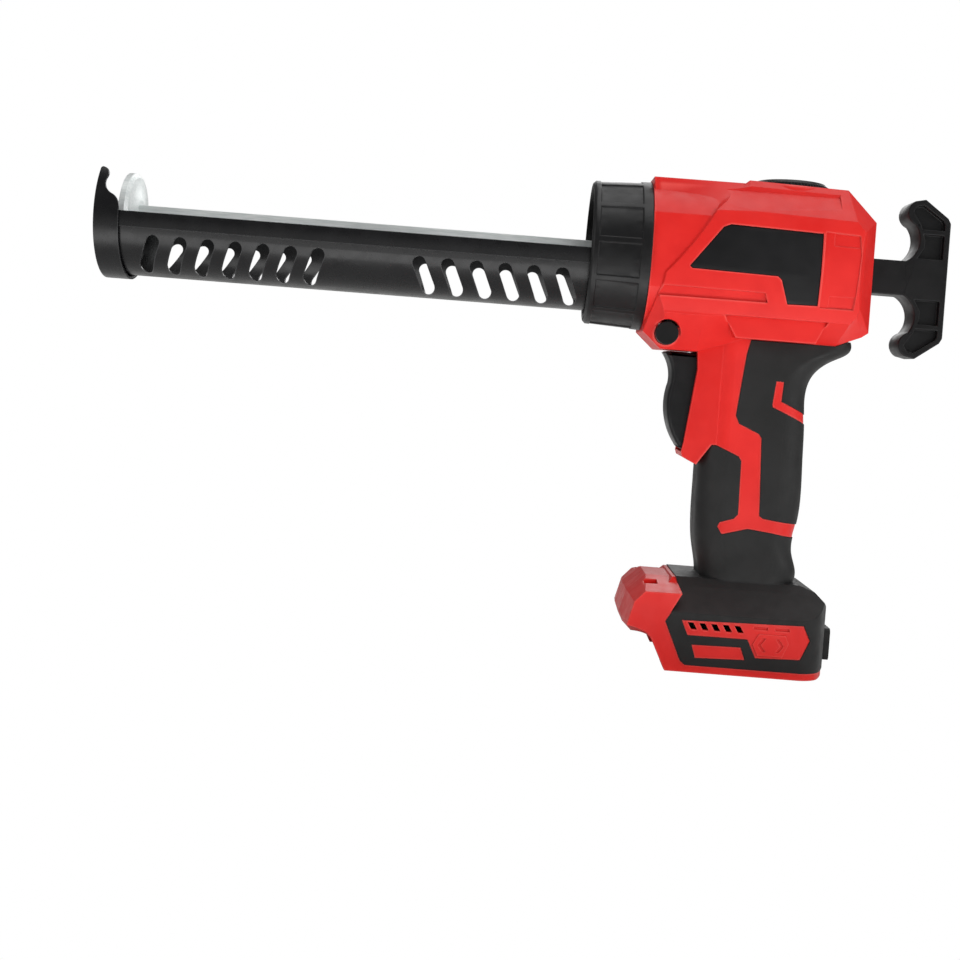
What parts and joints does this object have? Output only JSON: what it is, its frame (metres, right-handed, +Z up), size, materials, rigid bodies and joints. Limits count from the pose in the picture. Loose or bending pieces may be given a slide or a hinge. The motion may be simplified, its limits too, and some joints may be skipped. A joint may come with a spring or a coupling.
{
  "type": "electric caulking tool",
  "caption": "Hand-held electric caulking tool: half-tube cartridge carriage, rack-driven plunger rod with pull handle, moulded pistol grip and battery slide dock.",
  "frame": {"origin": "on the drive axis, in the plane where the collar meets the housing", "axes": "+X rearwards along the drive axis, +Z up, the side seen in the picture faces -Y"},
  "size_m": [0.3898, 0.075, 0.2241],
  "materials": {
    "red_abs": "fine moulded texture",
    "soft_tpe": "matt overmould",
    "black_nylon": "moulded",
    "black_gloss": "smooth moulded",
    "black_steel": "satin powder coat",
    "zinc_steel": "zinc plated",
    "bright_steel": "machined",
    "cast_alloy": "die cast",
    "bronze": "sintered",
    "board": "laminate",
    "copper": "tinned blade"
  },
  "bodies": {
    "housing": {"housing_left": "red_abs", "housing_right": "red_abs", "grip_left": "soft_tpe", "grip_right": "soft_tpe", "side_panel_left": "black_gloss", "side_panel_right": "black_gloss", "speed_control": "black_nylon", "rear_bumper": "soft_tpe", "trigger_switch": "black_nylon", "gear_frame": "cast_alloy", "front_bush": "bronze", "rear_bush": "bronze", "bearing_left": "bright_steel", "bearing_right": "bright_steel", "gearbox": "cast_alloy", "motor_can": "zinc_steel", "motor_end_bell": "black_nylon", "terminal_block": "black_nylon", "terminal_blades": "copper", "circuit_board": "board", "housing_screws": "bright_steel"},
    "carriage": {"carriage_trough": "black_steel", "front_cap": "black_steel", "carriage_ring": "black_steel"},
    "collar": {"collar": "black_nylon"},
    "rod": {"drive_rod": "zinc_steel", "plunger": "zinc_steel", "plunger_washer": "zinc_steel", "plunger_nut": "zinc_steel", "t_handle": "black_nylon", "handle_pin": "bright_steel"},
    "pinion": {"pinion_shaft": "bright_steel", "bevel_gear": "bright_steel"},
    "bevel_drive": {"bevel_pinion": "bright_steel"},
    "trigger": {"trigger": "black_gloss"},
    "lock_button": {"lock_button": "black_nylon"},
    "speed_dial": {"speed_dial": "black_nylon"}
  },
  "joints": [
    {"name": "rod_slide", "type": "slide", "parent": "housing", "child": "rod", "axis": [1, 0, 0], "range_m": [0, 0.212]},
    {"name": "pinion_spin", "type": "hinge", "parent": "housing", "child": "pinion", "pos_m": [0.0222, 0, -0.019], "axis": [0, 1, 0], "continuous": true},
    {"name": "bevel_spin", "type": "hinge", "parent": "housing", "child": "bevel_drive", "pos_m": [0.0222, 0.0136, -0.019], "axis": [1, 0, 0], "continuous": true},
    {"name": "carriage_swivel", "type": "hinge", "parent": "housing", "child": "carriage", "pos_m": [-0.014, 0, 0], "axis": [1, 0, 0], "continuous": true},
    {"name": "collar_turn", "type": "hinge", "parent": "housing", "child": "collar", "pos_m": [-0.0135, 0, 0], "axis": [1, 0, 0], "continuous": true},
    {"name": "trigger_pull", "type": "slide", "parent": "housing", "child": "trigger", "axis": [1, 0, 0], "range_m": [0, 0.006], "stiffness_N_per_m": 900, "springref_m": -0.004},
    {"name": "lock_push", "type": "slide", "parent": "housing", "child": "lock_button", "axis": [0, 1, 0], "range_m": [-0.0024, 0.0024]},
    {"name": "dial_turn", "type": "hinge", "parent": "housing", "child": "speed_dial", "pos_m": [0.0652, 0, 0.0355], "axis": [0, 0, 1], "range_deg": [-135, 135]}
  ],
  "couplings": [
    {"joint": "pinion_spin", "follows": "rod_slide", "rad_per_m": 76.923},
    {"joint": "bevel_spin", "follows": "rod_slide", "rad_per_m": 166.67}
  ]
}
